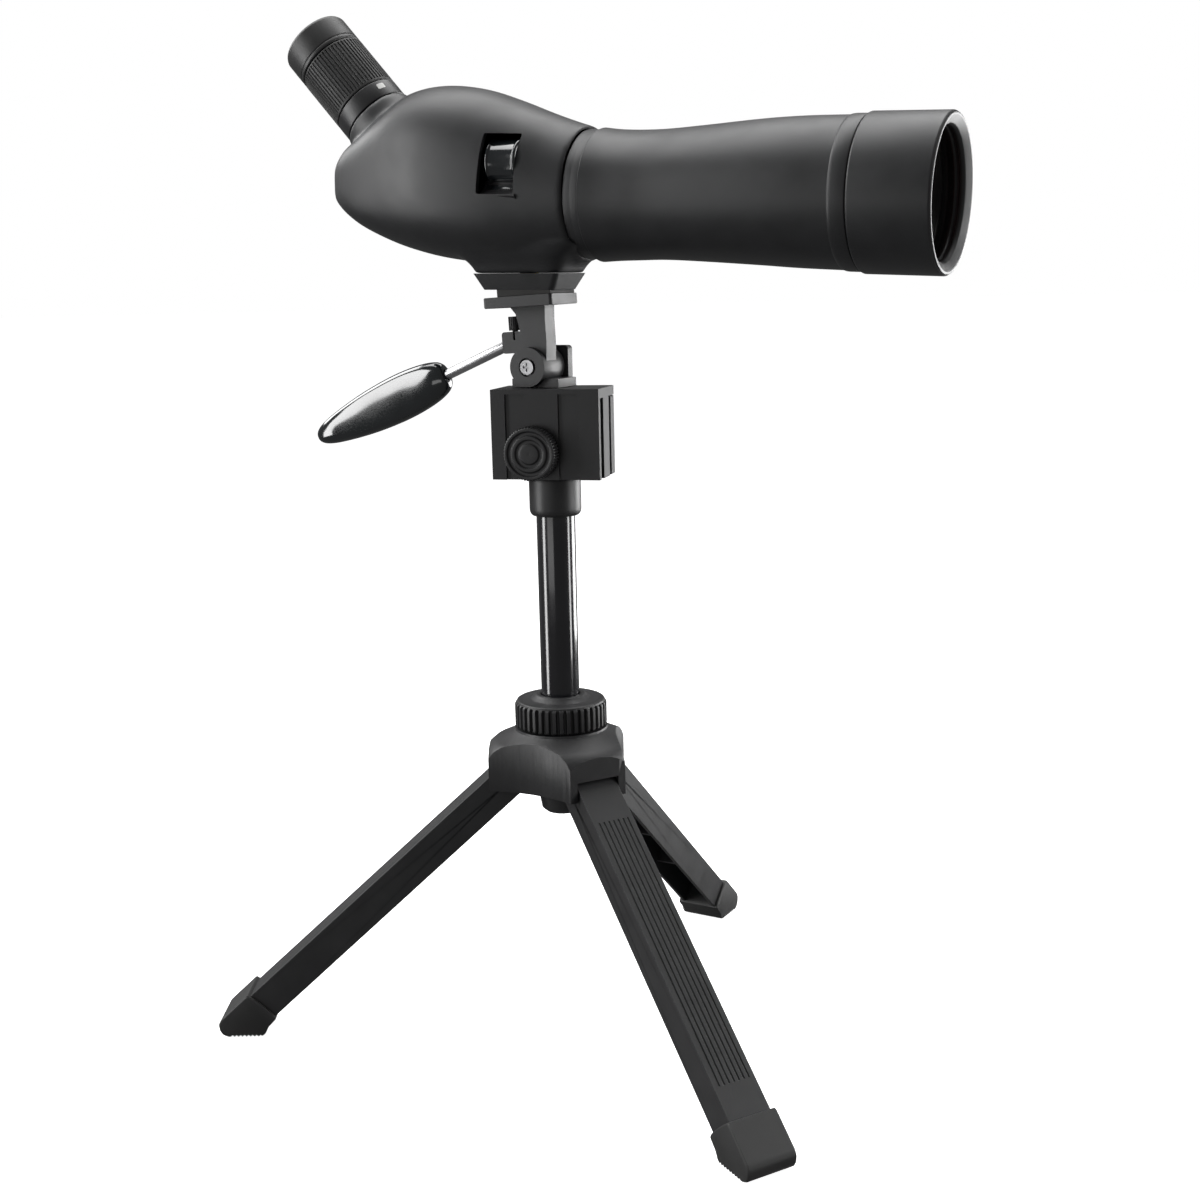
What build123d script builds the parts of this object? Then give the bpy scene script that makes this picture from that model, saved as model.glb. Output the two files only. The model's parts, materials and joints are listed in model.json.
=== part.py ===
from build123d import *
import math
import os

# Spotting scope on a tabletop tripod. Millimetres, +Z up. While modelling, the column's axis is X = Y = 0,
# the floor is Z = 0 and the scope looks along +X. Every node is then moved together, so that the origin
# is at the middle of the footprint box, on the floor.

# Where the groups sit
AXIS_HEIGHT = 462.9          # optical axis above the floor, over the column
SCOPE_DROP = 2.8             # degrees that the objective end points below the horizon
HEAD_RISE = 2.8              # degrees that the camera platform rises towards the objective
PIVOT_X, PIVOT_Z = -10.0, 372.5   # tilt pivot
BLOCK_YAW = 13.0             # degrees that the window clamp is turned about the column
LEG_YAWS = {"left": 206.8, "front": -33.2, "rear": 86.8}
GAP = 0.3                    # between curved or sliding faces of different bodies
FIT = 0.05                   # radial clearance of a running fit

# Scope body, measured along the optical axis from the column
HOOD_OD, HOOD_LIP_R, HOOD_SLEEVE_R = 75.0, 30.9, 34.0
HOOD_REAR, HOOD_FRONT = 173.7, 213.7
NECK_FRONT = 200.0
SHOULDER_REAR, SHOULDER_R = 164.5, 36.6
WALL = 2.8
BARREL_START, RING_START, HOUSING_REAR = 34.0, 26.0, -120.0
RING_Z, RING_GROOVE_R = -1.7, 33.2    # the groove ring between housing and barrel
# x, top z, bottom z, half width
HOUSING_SECTIONS = (
    (HOUSING_REAR, 12.5, -7.5, 17.5),
    (-114.0, 19.5, -13.0, 23.0),
    (-102.0, 29.0, -21.5, 29.5),
    (-88.0, 41.5, -27.5, 34.0),
    (-75.0, 50.0, -31.5, 37.0),
    (-58.0, 53.0, -35.0, 39.5),
    (-38.0, 51.5, -37.0, 40.0),
    (-18.0, 46.0, -37.5, 39.0),
    (0.0, 40.0, -37.0, 37.0),
    (14.0, 35.6, -36.3, 35.4),
    (RING_START, 32.4, -35.6, 34.0),
)
# x, centre z, radius
BARREL_SECTIONS = (
    (BARREL_START, -1.9, 33.4),
    (44.0, -2.0, 32.5),
    (56.0, -1.85, 32.05),
    (70.0, -1.4, 31.95),
    (90.0, -0.8, 32.9),
    (120.0, 0.0, 34.9),
    (142.0, 0.1, 35.8),
    (SHOULDER_REAR, 0.0, 36.1),
)
SQUARENESS = 2.5             # superellipse exponent of the housing's sections

# Eyepiece, measured along its own axis from the fold of the light path
FOLD_X, EYE_ANGLE = -67.6, 45.0
EYE_R, EYE_TUBE_R, EYE_BORE_R = 19.35, 17.0, 13.0
NECK_END, COLLAR_END, ZOOM_END, CUP_END = 52.7, 62.9, 94.4, 111.2
ZOOM_RIBS = 48

# Focus wheel, in the window on the -Y side
WHEEL_X, WHEEL_LENGTH, WHEEL_R = -7.0, 17.0, 12.0
WHEEL_Y, WHEEL_Z = -25.5, 13.0
WINDOW_W, WINDOW_TOP, WINDOW_BOTTOM = 21.0, 28.0, -2.0

# Tilt head, measured from the tilt pivot
PLATFORM = (41.0, 30.0, 5.65)
PLATFORM_Z = 31.7
FOOT_Z, FOOT_LEAN = 40.4, 3.8      # middle of the foot's sole, and the degrees it drops towards the objective
FOOT_SOLE, FOOT_SEAM, FOOT_HEIGHT = (42.0, 27.0), (51.0, 34.0), 8.5
PEDESTAL_TOP, PEDESTAL_HEIGHT = (80.0, 50.0), 22.0
ARM_W, ARM_T, BOSS_R = 17.5, 10.6, 10.4
BARREL_BACK = 13.6
ROD_R, ROD_DROP, GRIP_LENGTH, GRIP_W, GRIP_T = 2.85, 22.3, 96.0, 26.0, 13.0
ROD_X, ROD_Z = -15.6, 12.0          # where the pan rod's axis leaves the arm's lug
LOCK_X = -10.6                      # the rod's lock screw

# Window clamp
BLOCK_W, BLOCK_D, BLOCK_BOTTOM, BLOCK_TOP = 58.8, 34.5, 314.0, 361.5
JAW_T, CAP_T, PAD_T = 7.65, 5.0, 2.05
KNOB_R, KNOB_T, KNOB_X, KNOB_Z = 14.2, 9.0, -6.5, 328.4
GUIDES = [(x, z) for x in (-21.0, 21.0) for z in (322.0, 346.0)]
SCREW_R, GUIDE_R = 4.0, 2.0

# Column and tripod
TUBE_R, TUBE_WALL, TUBE_BOTTOM, TUBE_TOP = 10.5, 1.4, 130.0, 312.5
COLLAR_R, COLLAR_BOTTOM = 14.0, 293.0
RING_R, RING_BOTTOM, RING_TOP, RING_RIBS = 25.4, 176.2, 191.2, 40
HUB_BOTTOM, HUB_TOP, LOBE_R, LOBE_HALF = 143.4, 175.7, 40.0, 17.0
LEG_PIVOT_R, LEG_PIVOT_Z, LEG_DROP = 30.0, 146.5, 42.1
LEG_W, LEG_D, LEG_WALL, LEG_LENGTH = 24.2, 18.2, 2.4, 200.0
PIN_R, PIN_HALF = 2.0, 15.2
FOOT_W = 28.4

SCOPE = Pos(0, 0, AXIS_HEIGHT) * Rot(0, SCOPE_DROP, 0)
EYEPIECE = SCOPE * Pos(FOLD_X, 0, 0) * Rot(0, -EYE_ANGLE, 0)
HEAD = Pos(PIVOT_X, 0, PIVOT_Z) * Rot(0, -HEAD_RISE, 0)
FOOT = HEAD * Pos(0, 0, FOOT_Z) * Rot(0, FOOT_LEAN, 0)
BLOCK = Rot(0, 0, BLOCK_YAW)
nodes = {}


def spin(outline, turn=360):
    """Revolves an outline of (radius, height) points about Z."""
    return revolve(Plane.XZ * make_face(Polyline(*outline, close=True)), Axis.Z, turn)


def tube(r_out, r_in, low, high):
    """A plain sleeve about Z."""
    return spin([(r_in, low), (r_out, low), (r_out, high), (r_in, high)])


def rod(radius, low, high):
    return Pos(0, 0, (low + high) / 2) * Cylinder(radius, high - low)


def block(low, high):
    """A box from its lowest to its highest corner."""
    size = [b - a for a, b in zip(low, high)]
    middle = [(a + b) / 2 for a, b in zip(low, high)]
    return Pos(*middle) * Box(*size)


def along_x(shape):
    """Turns a shape built about Z so that its axis is X."""
    return Rot(0, 90, 0) * shape


def along_y(shape):
    """Turns a shape built about Z so that its axis is Y."""
    return Rot(-90, 0, 0) * shape


def ribbed(r_out, r_root, count, low, high, r_in, fill=0.5):
    """A sleeve about Z with straight ribs along its axis."""
    points = []
    step = 2 * math.pi / count
    for i in range(count):
        for r, share in ((r_root, -0.5), (r_root, -fill / 2), (r_out, -fill / 3), (r_out, fill / 3),
                         (r_root, fill / 2)):
            angle = (i + share) * step
            points.append((r * math.cos(angle), r * math.sin(angle)))
    sleeve = Pos(0, 0, low) * extrude(make_face(Polyline(*points, close=True)), high - low)
    return sleeve - rod(r_in, low - 1, high + 1)


def section(x, top, bottom, half_width, shrink=0.0):
    """A rounded housing section across the optical axis."""
    height = (top - bottom) / 2 - shrink
    width = half_width - shrink
    points = []
    for i in range(20):
        angle = 2 * math.pi * i / 20
        c, s = math.cos(angle), math.sin(angle)
        y = width * math.copysign(abs(c) ** (2 / SQUARENESS), c)
        z = height * math.copysign(abs(s) ** (2 / SQUARENESS), s)
        points.append((y, z))
    plane = Plane(origin=(x, 0, (top + bottom) / 2), x_dir=(0, 1, 0), z_dir=(1, 0, 0))
    return plane * make_face(Spline(points, periodic=True))


def disc(x, z, radius):
    """A round section across the optical axis."""
    return Plane(origin=(x, 0, z), x_dir=(0, 1, 0), z_dir=(1, 0, 0)) * Circle(radius)


def lens(radius, low, high, front=0.0, back=0.0):
    """A lens about Z between two heights. front and back are how far its faces bulge."""
    body = rod(radius, low, high)
    if front:
        curve = (radius ** 2 + front ** 2) / (2 * front)
        body &= Pos(0, 0, high - curve) * Sphere(curve)
    if back:
        curve = (radius ** 2 + back ** 2) / (2 * back)
        body &= Pos(0, 0, low + curve) * Sphere(curve)
    return body


def housing():
    """Prism housing: a hollow shell with the eyepiece neck, the foot's pedestal and the focus window."""
    outer = loft([section(*s) for s in HOUSING_SECTIONS])
    inner = loft([section(x, top, bottom, half, WALL) for x, top, bottom, half in HOUSING_SECTIONS[1:]])
    eye = Pos(FOLD_X, 0, 0) * Rot(0, -EYE_ANGLE, 0)
    neck = eye * spin([(0, 12), (25, 12), (23.5, 34), (20.4, NECK_END - 3), (20.0, NECK_END), (0, NECK_END)])
    to_scope = SCOPE.inverse() * FOOT
    low = to_scope * Pos(0, 0, FOOT_HEIGHT) * Rectangle(*FOOT_SEAM)
    high = to_scope * Pos(0, 0, PEDESTAL_HEIGHT) * Rectangle(*PEDESTAL_TOP)
    shell = outer + neck + loft([low, high])
    shell -= inner
    shell -= eye * rod(15.0, 12, NECK_END + 1)
    shell -= Pos(RING_START, 0, RING_Z) * along_x(rod(31.0, -6, 6))
    shell -= Pos(0, 0, RING_Z) * along_x(rod(RING_GROOVE_R + 0.6, RING_START, 60))
    shell -= block((WHEEL_X - WINDOW_W / 2, -45, WINDOW_BOTTOM), (WHEEL_X + WINDOW_W / 2, -25, WINDOW_TOP))
    return shell - to_scope * rod(5.0, -1, 14)


def barrel():
    """Objective barrel: a flared tube, a shoulder and a plain neck that the sunshade slides on."""
    outer = loft([disc(*s) for s in BARREL_SECTIONS])
    inner = loft([disc(x, z, r - WALL) for x, z, r in BARREL_SECTIONS])
    shoulder = along_x(spin([
        (33.0, SHOULDER_REAR), (36.3, SHOULDER_REAR), (SHOULDER_R, SHOULDER_REAR + 1.0),
        (SHOULDER_R, HOOD_REAR - 1.0), (36.2, HOOD_REAR - GAP), (HOOD_SLEEVE_R - FIT, HOOD_REAR - GAP),
        (HOOD_SLEEVE_R - FIT, NECK_FRONT), (31.5, NECK_FRONT), (31.5, SHOULDER_REAR + 4), (33.0, SHOULDER_REAR),
    ]))
    return (outer - inner) + shoulder


def sunshade():
    """Sliding sunshade with a bevelled front rim and a lip around the glass."""
    r = HOOD_OD / 2
    return along_x(spin([
        (HOOD_SLEEVE_R, HOOD_REAR), (r - 0.4, HOOD_REAR), (r, HOOD_REAR + 0.4), (r, HOOD_FRONT - 0.8),
        (r - 0.8, HOOD_FRONT), (r - 2.0, HOOD_FRONT), (HOOD_LIP_R + 1.2, HOOD_FRONT - 3.0),
        (HOOD_LIP_R, HOOD_FRONT - 3.6), (HOOD_LIP_R, NECK_FRONT + 6.0), (HOOD_SLEEVE_R, NECK_FRONT + 2.0),
    ]))


def add_scope():
    """Scope body, its optics, the sunshade and the focus drive."""
    x_screw_end = 13.7
    nodes["prism_housing"] = SCOPE * housing()
    ring = tube(RING_GROOVE_R, 29.5, RING_START, BARREL_START)
    nodes["barrel_ring"] = SCOPE * Pos(0, 0, RING_Z) * along_x(ring)
    nodes["objective_barrel"] = SCOPE * barrel()
    nodes["sunshade"] = SCOPE * sunshade()
    nodes["objective_cell"] = SCOPE * along_x(spin([
        (29.6, 181), (31.5, 181), (31.5, NECK_FRONT), (28.6, NECK_FRONT), (27.6, 196.5), (29.6, 196.5),
    ]))
    nodes["objective_lens"] = SCOPE * along_x(lens(29.6, 188.0, 196.3, front=3.6, back=0.0))
    nodes["objective_rear_lens"] = SCOPE * along_x(rod(29.6, 184.0, 188.0))
    nodes["light_baffle"] = SCOPE * Pos(0, 0, -0.75) * along_x(tube(29.9, 21.0, 100, 101.5) + tube(29.9, 28.6, 96, 101))
    # Focus drive: the wheel turns a screw, which moves a carriage that slides on two guide rods.
    axle = Pos(0, WHEEL_Y, WHEEL_Z)
    wheel = ribbed(WHEEL_R, WHEEL_R - 0.5, 60, WHEEL_X - WHEEL_LENGTH / 2, WHEEL_X + WHEEL_LENGTH / 2, 2.5)
    nodes["focus_wheel"] = SCOPE * axle * along_x(wheel)
    nodes["focus_screw"] = SCOPE * axle * along_x(rod(2.5, WHEEL_X - 11.5, x_screw_end))
    bracket = block((WHEEL_X - 9.5, -12.9, 7.0), (WHEEL_X + 9.5, -11.7, 18.0))
    for x in (WHEEL_X - 11.0, WHEEL_X + 9.5):
        bracket += block((x, -30.8, 7.0), (x + 1.5, -11.7, 18.0))
    bracket -= axle * along_x(rod(2.5 + FIT, WHEEL_X - 15, WHEEL_X + 15))
    scoop = block((WHEEL_X - WINDOW_W / 2, -36.0, WINDOW_BOTTOM), (WHEEL_X + WINDOW_W / 2, -26.0, 5.5))
    scoop -= Pos(0, WHEEL_Y, WHEEL_Z) * along_x(rod(WHEEL_R + 1.0, WHEEL_X - 20, WHEEL_X + 20))
    scoop -= Pos(0, -41.0, 6.0) * along_x(rod(10.0, WHEEL_X - 20, WHEEL_X + 20))
    nodes["wheel_bracket"] = SCOPE * (bracket + scoop)
    carriage = along_x(tube(24.0, 21.0, 30, 62))
    carriage += axle * along_x(rod(3.4, 7.0, 11.0))
    carriage += block((7.0, WHEEL_Y, 8.0), (11.0, -17.0, WHEEL_Z + 3.0))
    carriage += block((7.0, -22.5, 8.0), (34.0, -17.0, 12.0))
    carriage += Pos(0, 24.0, 0) * along_x(rod(3.4, 34, 58))
    carriage -= axle * along_x(rod(2.5 + FIT, 0, 15))
    carriage -= Pos(0, 24.0, 0) * along_x(rod(1.5 + FIT, 0, 90))
    carriage -= along_x(rod(21.0, 0, 90))
    nodes["focus_carriage"] = SCOPE * carriage
    nodes["focus_lens"] = SCOPE * along_x(lens(21.0, 47.0, 53.0, front=1.2, back=1.2))
    nodes["guide_rod"] = SCOPE * Pos(0, 24.0, 0) * along_x(rod(1.5, 22, 78))
    hangers = []
    for x, r_out in ((22, 30.6), (76, 28.7)):
        hanger = Pos(0, 0, -1.2) * along_x(tube(r_out, r_out - 1.8, x, x + 2))
        hanger += block((x, 21.5, -3.0), (x + 2, r_out - 1.0, 3.0))
        hangers.append(hanger - Pos(0, 24.0, 0) * along_x(rod(1.5, 0, 90)))
    nodes["rod_hangers"] = SCOPE * Compound(children=hangers)
    # Prism and its holder
    prism = Plane.XZ * make_face(Polyline((-88, -17), (-46, -17), (-46, 17), (-62, 25), (-88, 5), close=True))
    nodes["prism"] = SCOPE * extrude(prism, 15, both=True)
    holder = block((-86, -17.2, -19.2), (-44, 17.2, -17.2))
    for y in (-17.2, 15.2):
        holder += block((-86, y, -19.2), (-44, y + 2, 16))
    nodes["prism_holder"] = SCOPE * holder


def add_foot():
    """Foot under the housing, with its threaded insert."""
    foot = loft([Rectangle(*FOOT_SOLE), Pos(0, 0, FOOT_HEIGHT) * Rectangle(*FOOT_SEAM)])
    corners = [e for e in foot.edges() if abs(e.tangent_at(0.5).Z) > 0.5]
    foot = fillet(corners, 3)
    nodes["mount_foot"] = FOOT * (foot - rod(5.0, -1, FOOT_HEIGHT + 1))
    nodes["foot_insert"] = FOOT * tube(5.0, 3.1, 0, 11)


def add_eyepiece():
    """Zoom eyepiece: collar, zoom ring, inner tube, lenses and pull-out eyecup."""
    nodes["eyepiece_collar"] = EYEPIECE * spin([
        (15.0, NECK_END), (19.0, NECK_END), (EYE_R, NECK_END + 0.5), (EYE_R, COLLAR_END - 0.4),
        (19.0, COLLAR_END), (15.0, COLLAR_END),
    ])
    nodes["eyepiece_tube"] = EYEPIECE * spin([
        (EYE_BORE_R, 40), (15.0, 40), (15.0, COLLAR_END), (EYE_TUBE_R, COLLAR_END), (EYE_TUBE_R, 104),
        (EYE_BORE_R, 104), (EYE_BORE_R, 96.0), (9.0, 96.0), (9.0, 94.6), (EYE_BORE_R, 94.6),
    ])
    zoom_low, zoom_high = COLLAR_END + GAP, ZOOM_END - 0.15
    bore = EYE_TUBE_R + FIT
    ring = ribbed(EYE_R, EYE_R - 0.7, ZOOM_RIBS, zoom_low + 2.0, zoom_high - 2.0, bore)
    ring += tube(EYE_R - 0.1, bore, zoom_low, zoom_low + 2.0)
    ring += tube(EYE_R - 0.1, bore, zoom_high - 2.0, zoom_high)
    nodes["zoom_ring"] = EYEPIECE * ring
    nodes["zoom_carrier"] = EYEPIECE * tube(EYE_BORE_R - FIT, 11.0, 76, 84)
    nodes["zoom_lens"] = EYEPIECE * lens(11.0, 77.5, 82.5, front=1.0, back=1.0)
    nodes["field_lens"] = EYEPIECE * lens(EYE_BORE_R, 64.0, 69.5, front=1.5)
    nodes["eye_lens"] = EYEPIECE * lens(EYE_BORE_R, 98.0, 103.0, front=1.2, back=1.2)
    low = ZOOM_END + 0.15
    nodes["eyecup"] = EYEPIECE * spin([
        (bore, low), (19.0, low), (EYE_R, low + 0.4), (EYE_R, CUP_END - 1.5), (EYE_R - 1.0, CUP_END),
        (17.6, CUP_END), (15.4, CUP_END - 5.5), (15.4, 104.6), (bore, 104.6),
    ])


def add_head():
    """Tilt head: camera platform on its arm, pan handle, pivot and turning bracket."""
    width, depth, thick = PLATFORM
    plate = Pos(0, 0, PLATFORM_Z + thick / 2) * Box(width, depth, thick)
    plate = chamfer(plate.edges().filter_by(Axis.Z), 1.0)
    plate -= rod(4.0, PLATFORM_Z - 1, PLATFORM_Z + thick + 1)
    plate -= rod(6.8, PLATFORM_Z - 1, PLATFORM_Z + 3.4)
    nodes["platform"] = HEAD * plate
    plate_top = PLATFORM_Z + thick
    pad = block((-width / 2 + 8, -depth / 2 + 1.5, plate_top), (width / 2 - 1, depth / 2 - 1.5, FOOT_Z + 5))
    pad -= Pos(0, 0, FOOT_Z) * Rot(0, FOOT_LEAN, 0) * Pos(0, 0, 10) * Box(90, 60, 20)
    nodes["platform_pad"] = HEAD * (pad - rod(4.0, 30, 50))
    head_z = PLATFORM_Z + 0.5 - FOOT_Z
    nodes["camera_screw"] = FOOT * (rod(3.0, head_z + 2.4, 8.5) + rod(5.8, head_z, head_z + 2.4))
    side = make_face(Polyline(
        (-ARM_W / 2 + 2, 0), (ARM_W / 2 + 1, 0), (ARM_W / 2 + 2, 12), (ARM_W / 2 + 2, 24),
        (ARM_W / 2 + 2.4, PLATFORM_Z), (-ARM_W / 2 - 1, PLATFORM_Z), (-ARM_W / 2 + 2, 28), (-ARM_W / 2 + 4, 19),
        (-ARM_W / 2 + 5, 10), close=True,
    ))
    arm = extrude(Plane.XZ * side, ARM_T / 2, both=True)
    arm += along_y(rod(BOSS_R, -9.0, BARREL_BACK))
    arm -= along_y(rod(3.0 + FIT, -20, 20))
    arm -= along_y(rod(5.0, -20, -7.2))
    handle_at = Pos(ROD_X, 0, ROD_Z) * Rot(0, -90 - ROD_DROP + HEAD_RISE, 0)
    lug = fillet(block((-16.6, -4.6, 7.6), (-ARM_W / 2 + 5, 4.6, 19.0)).edges().filter_by(Axis.Y), 1.6)
    lug -= block((-9.6, -6, 14.6), (-8.4, 6, 20))
    arm += lug
    arm -= handle_at * rod(ROD_R + FIT, -5.5, 12)
    arm -= Pos(LOCK_X, 0, 0) * rod(1.6 + FIT, 14.0, 22)
    nodes["tilt_arm"] = HEAD * arm
    nodes["rod_lock_screw"] = HEAD * Pos(LOCK_X, 0, 0) * (
        rod(1.6, 16.4, 19.6) + ribbed(3.4, 3.0, 18, 19.6, 27.0, 0.001)
    )
    nodes["pan_rod"] = HEAD * handle_at * rod(ROD_R, -5.0, 70)
    nodes["pan_grip"] = HEAD * handle_at * grip()
    nodes["pivot_screw"] = Pos(PIVOT_X, 0, PIVOT_Z) * pivot_screw()
    nodes["pivot_nut"] = Pos(PIVOT_X, 0, PIVOT_Z) * along_y(
        Pos(0, 0, 19.2) * extrude(RegularPolygon(5.2, 6), 3.6) - rod(3.0, 15, 30)
    )
    nodes["friction_washer"] = Pos(PIVOT_X, 0, PIVOT_Z) * along_y(tube(8.5, 3.0, BARREL_BACK + 0.05, 14.2))
    base_z = BLOCK_TOP + GAP
    pivot = Pos(PIVOT_X, 0, PIVOT_Z)
    ear = block((-12.4, 14.2, -6.5), (12.4, 19.2, 10.6))
    ear = fillet(ear.edges().filter_by(Axis.Y).group_by(Axis.Z)[-1], 2.0)
    ear += block((-11.0, 14.2, base_z - PIVOT_Z), (11.6, 19.2, -6.5))
    base = pivot * ear + block((-21.0, -6.0, base_z), (7.0, 14.2, base_z + 4.5))
    base -= pivot * along_y(rod(BOSS_R + 0.4, -20, BARREL_BACK + 0.6))
    nodes["tilt_bracket"] = base - pivot * along_y(rod(3.0, 10, 30))
    nodes["pan_spindle"] = rod(5.0, BLOCK_TOP - 14.5, base_z)


def grip():
    """Flattened teardrop grip about Z, its rod end first."""
    start = 42.0
    shares = ((0.0, 0.5, 0.62), (0.05, 0.66, 0.8), (0.2, 0.9, 0.97), (0.38, 1.0, 1.0), (0.62, 0.82, 0.82),
              (0.85, 0.5, 0.56), (0.96, 0.28, 0.36), (1.0, 0.12, 0.16))
    faces = [Pos(0, 0, start + GRIP_LENGTH * at) * Ellipse(GRIP_W / 2 * w, GRIP_T / 2 * t) for at, w, t in shares]
    return loft(faces) - rod(ROD_R, start - 1, 70)


def pivot_screw():
    """Cross-head pivot screw along Y, its head at the front."""
    screw = along_y(rod(3.0, -8.6, 24.0) + rod(3.9, -9.6, -7.3))
    cross = block((-2.2, -10, -0.5), (2.2, -8.6, 0.5)) + block((-0.5, -10, -2.2), (0.5, -8.6, 2.2))
    return screw - cross


def add_clamp():
    """Window clamp: body with its overhanging cap, moving jaw, pads, screw and knob."""
    w, d = BLOCK_W / 2, BLOCK_D / 2
    front_back = d - JAW_T - 2 * PAD_T - GAP
    body = block((-w, -d, BLOCK_BOTTOM), (w, front_back, BLOCK_TOP))
    body += block((-w, front_back, BLOCK_TOP - CAP_T), (w, d, BLOCK_TOP))
    for x in (-w, w):
        body -= block((x - 1.6, -d + 3.6, BLOCK_BOTTOM - 1), (x + 1.6, -d + 10.0, BLOCK_TOP - CAP_T))
    for x0, x1 in ((-21.6, -10.6), (7.4, 18.4)):
        body -= block((x0, -d - 1, BLOCK_BOTTOM - 1), (x1, -d + 1.2, BLOCK_TOP - 2.5))
    hole_length = (-d - 1, d + 30)
    knob_axis = Pos(KNOB_X, 0, KNOB_Z)
    body -= knob_axis * along_y(rod(SCREW_R + FIT, *hole_length))
    guides = [Pos(x, 0, z) for x, z in GUIDES]
    for at in guides:
        body -= at * along_y(rod(GUIDE_R + FIT, front_back - 20, front_back + 1))
    body -= rod(5.0 + FIT, BLOCK_TOP - 15, BLOCK_TOP + 1)
    nodes["clamp_body"] = BLOCK * body
    low, high = BLOCK_BOTTOM + 2, BLOCK_TOP - CAP_T - 1
    pad = block((-w + 2, front_back, low), (w - 2, front_back + PAD_T, high))
    jaw_pad = block((-w + 2, d - JAW_T - PAD_T, low), (w - 2, d - JAW_T, high))
    jaw = block((-w, d - JAW_T, BLOCK_BOTTOM), (w, d, BLOCK_TOP - CAP_T - GAP))
    for at in guides:
        pad -= at * along_y(rod(GUIDE_R + GAP, *hole_length))
        jaw_pad -= at * along_y(rod(GUIDE_R, *hole_length))
        jaw -= at * along_y(rod(GUIDE_R, *hole_length))
    pad -= knob_axis * along_y(rod(SCREW_R + 0.5, *hole_length))
    jaw_pad -= knob_axis * along_y(rod(SCREW_R + 0.5, *hole_length))
    jaw -= knob_axis * along_y(rod(SCREW_R + FIT, *hole_length))
    nodes["clamp_body_pad"] = BLOCK * pad
    nodes["jaw_pad"] = BLOCK * jaw_pad
    nodes["clamp_jaw"] = BLOCK * jaw
    pins = [at * along_y(rod(GUIDE_R, front_back - 19.5, d)) for at in guides]
    nodes["guide_pins"] = BLOCK * Compound(children=pins)
    nodes["clamp_screw"] = BLOCK * knob_axis * along_y(rod(SCREW_R, -d - GAP - 5, d + 5.2))
    knob = ribbed(KNOB_R, KNOB_R - 0.6, 54, 0, KNOB_T, SCREW_R) + rod(SCREW_R, 5, KNOB_T)
    for r_out, r_in in ((7.4, 5.4), (11.6, 9.6)):
        knob -= tube(r_out, r_in, KNOB_T - 0.9, KNOB_T + 1)
    nodes["clamp_knob"] = BLOCK * knob_axis * Pos(0, -d - GAP, 0) * Rot(90, 0, 0) * knob


def add_column():
    """Column tube with its socket collar and end cap, and the ring that locks it."""
    nodes["column_tube"] = tube(TUBE_R, TUBE_R - TUBE_WALL, TUBE_BOTTOM, TUBE_TOP)
    nodes["socket_collar"] = spin([
        (TUBE_R, COLLAR_BOTTOM), (COLLAR_R - 1.2, COLLAR_BOTTOM), (COLLAR_R, COLLAR_BOTTOM + 2.2),
        (COLLAR_R, BLOCK_BOTTOM), (0, BLOCK_BOTTOM), (0, TUBE_TOP), (TUBE_R, TUBE_TOP),
    ])
    nodes["column_end_cap"] = spin([
        (0, 127), (9.6, 127), (11.9, 129), (12.4, 132), (13.4, 138), (15.5, HUB_BOTTOM - GAP),
        (TUBE_R, HUB_BOTTOM - GAP), (TUBE_R, TUBE_BOTTOM), (TUBE_R - TUBE_WALL, TUBE_BOTTOM),
        (TUBE_R - TUBE_WALL, 138), (0, 138),
    ])
    ring = ribbed(RING_R, RING_R - 1.3, RING_RIBS, RING_BOTTOM, RING_TOP - 1.4, 17.3, fill=0.62)
    ring += spin([
        (TUBE_R + GAP, RING_TOP - 3.0), (RING_R - 1.3, RING_TOP - 3.0), (RING_R - 1.0, RING_TOP - 0.5),
        (RING_R - 2.2, RING_TOP), (21.0, RING_TOP - 0.6), (15.0, RING_TOP + 1.2), (13.5, RING_TOP + 2.8),
        (TUBE_R + GAP, RING_TOP + 2.8),
    ])
    nodes["locking_ring"] = ring
    collet = tube(13.2, TUBE_R + FIT, 176.0, 187.0)
    for turn in (0, 60, 120):
        collet -= Rot(0, 0, turn) * block((-20, -0.6, 179.0), (20, 0.6, 190))
    nodes["collet"] = collet


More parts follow.
